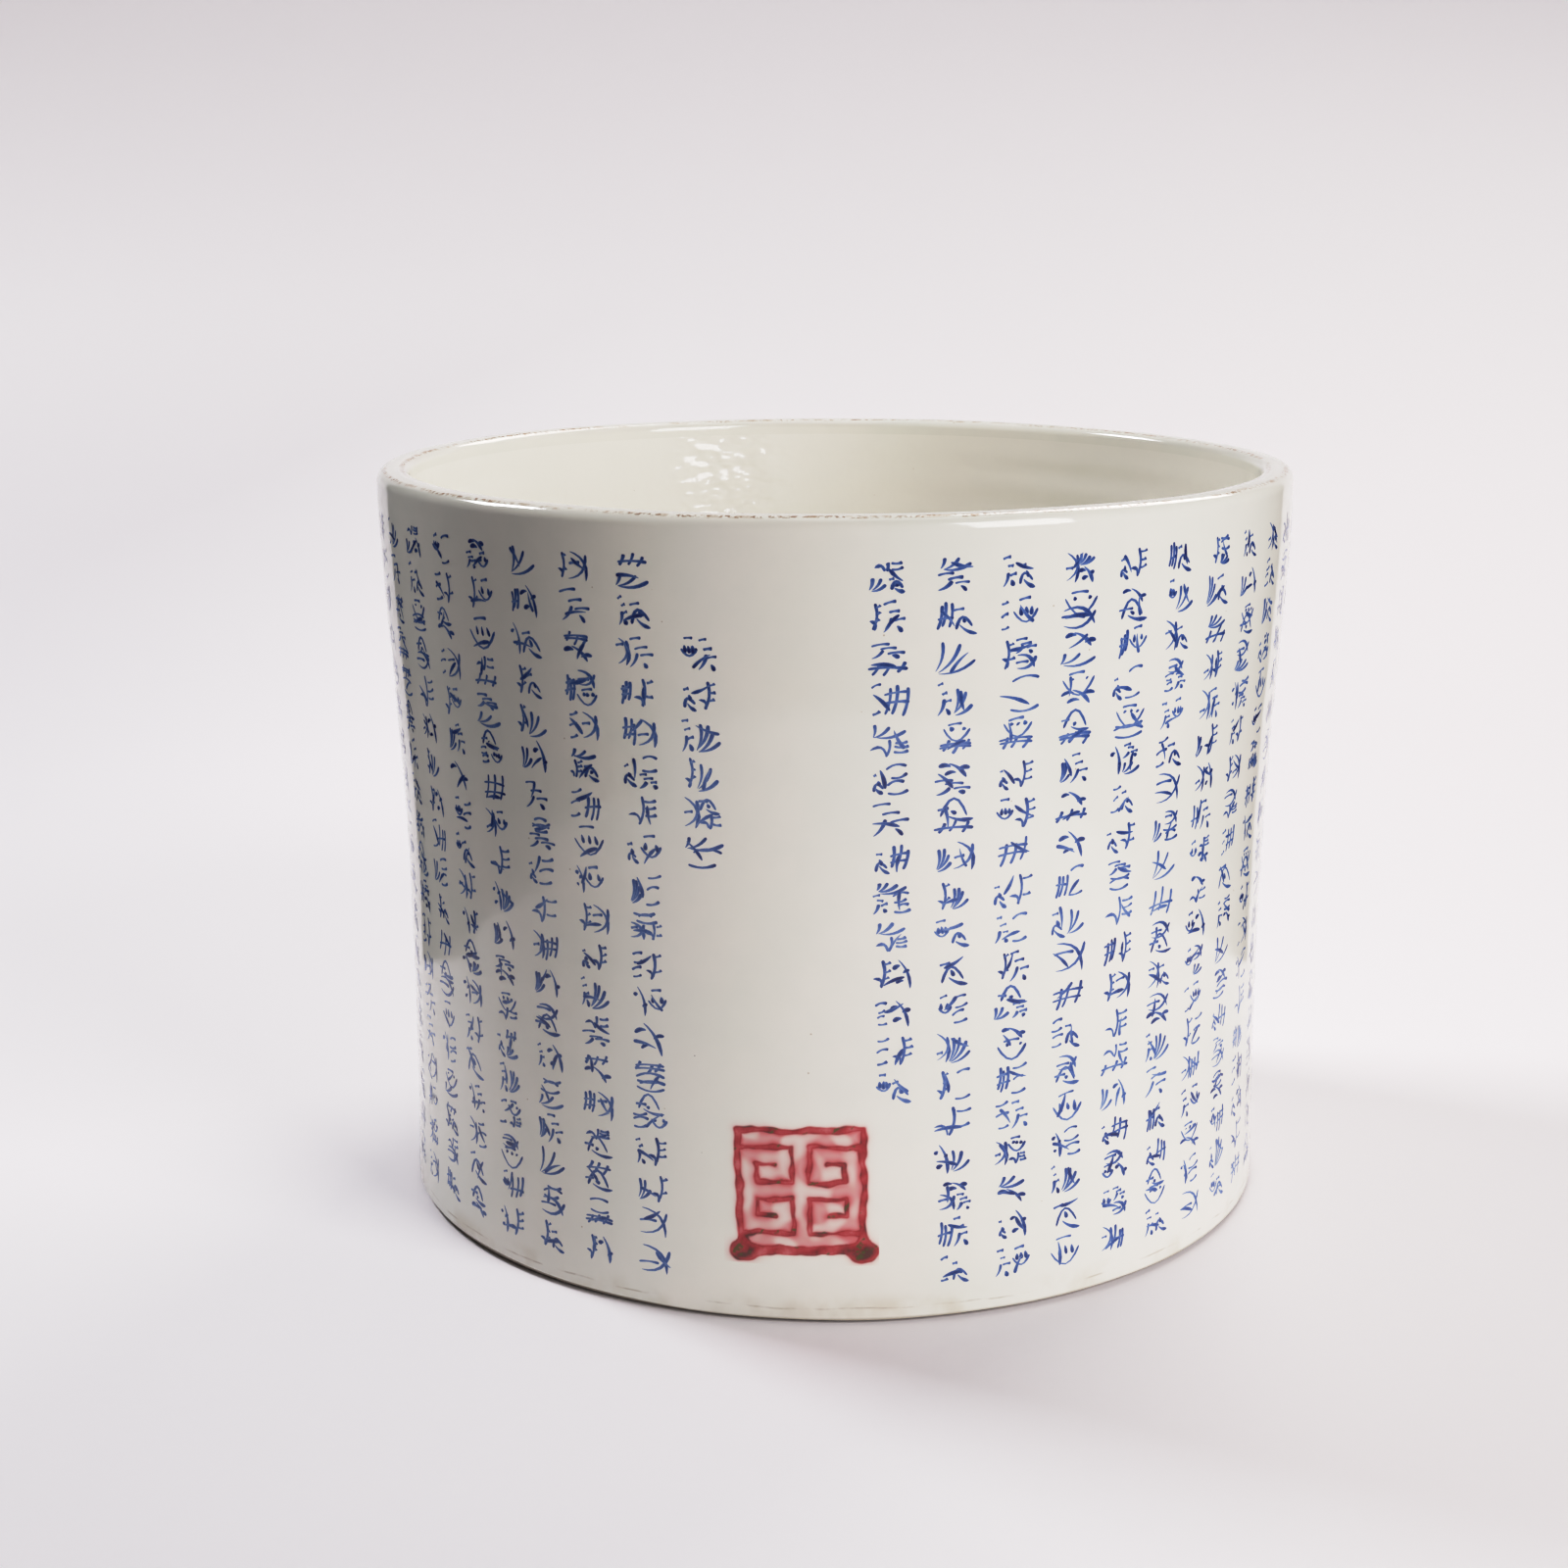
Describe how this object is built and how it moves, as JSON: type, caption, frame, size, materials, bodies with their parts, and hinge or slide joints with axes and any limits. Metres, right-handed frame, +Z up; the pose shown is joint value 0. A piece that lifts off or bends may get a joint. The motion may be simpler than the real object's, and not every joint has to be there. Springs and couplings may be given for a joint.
{
  "type": "brush holder pot",
  "caption": "Round porcelain brush pot with a waisted wall, flat foot ring, blue brush-stroke columns and one square red seal device on a blank panel",
  "frame": {"origin": "centre of the circle that the foot ring stands on", "axes": "+Z up along the pot's axis; the blank panel with the seal device faces -Y, turned 4 degrees towards -X"},
  "size_m": [0.1908, 0.1905, 0.154],
  "materials": {
    "biscuit_clay": "bare fired porcelain clay, matte, slightly buff where it was fired",
    "clear_glaze": "clear glossy glaze over white porcelain, warm grey-white with fine pinholes",
    "cobalt_blue": "cobalt brushwork under clear gloss glaze, darker where the brush stopped",
    "copper_red": "red pigment under clear gloss glaze, uneven, with green specks"
  },
  "bodies": {
    "root": {"body_wall": "biscuit_clay", "base_slab": "biscuit_clay", "corner_coil": "biscuit_clay", "foot_ring": "biscuit_clay", "outer_glaze": "clear_glaze", "lip_glaze": "clear_glaze", "lining_glaze": "clear_glaze", "recess_glaze": "clear_glaze", "brush_column_01": "cobalt_blue", "brush_column_02": "cobalt_blue", "brush_column_03": "cobalt_blue", "brush_column_04": "cobalt_blue", "brush_column_05": "cobalt_blue", "brush_column_06": "cobalt_blue", "brush_column_07": "cobalt_blue", "brush_column_08": "cobalt_blue", "brush_column_09": "cobalt_blue", "brush_column_10": "cobalt_blue", "brush_column_11": "cobalt_blue", "brush_column_12": "cobalt_blue", "brush_column_13": "cobalt_blue", "brush_column_14": "cobalt_blue", "brush_column_15": "cobalt_blue", "brush_column_16": "cobalt_blue", "brush_column_17": "cobalt_blue", "brush_column_18": "cobalt_blue", "brush_column_19": "cobalt_blue", "brush_column_20": "cobalt_blue", "brush_column_21": "cobalt_blue", "brush_column_22": "cobalt_blue", "brush_column_23": "cobalt_blue", "brush_column_24": "cobalt_blue", "brush_column_25": "cobalt_blue", "brush_column_26": "cobalt_blue", "brush_column_27": "cobalt_blue", "brush_column_28": "cobalt_blue", "brush_column_29": "cobalt_blue", "brush_column_30": "cobalt_blue", "brush_column_31": "cobalt_blue", "brush_column_32": "cobalt_blue", "brush_column_33": "cobalt_blue", "brush_column_34": "cobalt_blue", "brush_column_35": "cobalt_blue", "brush_column_36": "cobalt_blue", "brush_column_37": "cobalt_blue", "brush_column_38": "cobalt_blue", "brush_column_39": "cobalt_blue", "brush_column_40": "cobalt_blue", "brush_column_41": "cobalt_blue", "brush_column_42": "cobalt_blue", "brush_column_43": "cobalt_blue", "brush_column_44": "cobalt_blue", "brush_column_45": "cobalt_blue", "brush_column_46": "cobalt_blue", "brush_column_47": "cobalt_blue", "seal_device": "copper_red", "base_ring_outer": "cobalt_blue", "base_ring_inner": "cobalt_blue", "base_flower": "cobalt_blue"}
  },
  "joints": []
}
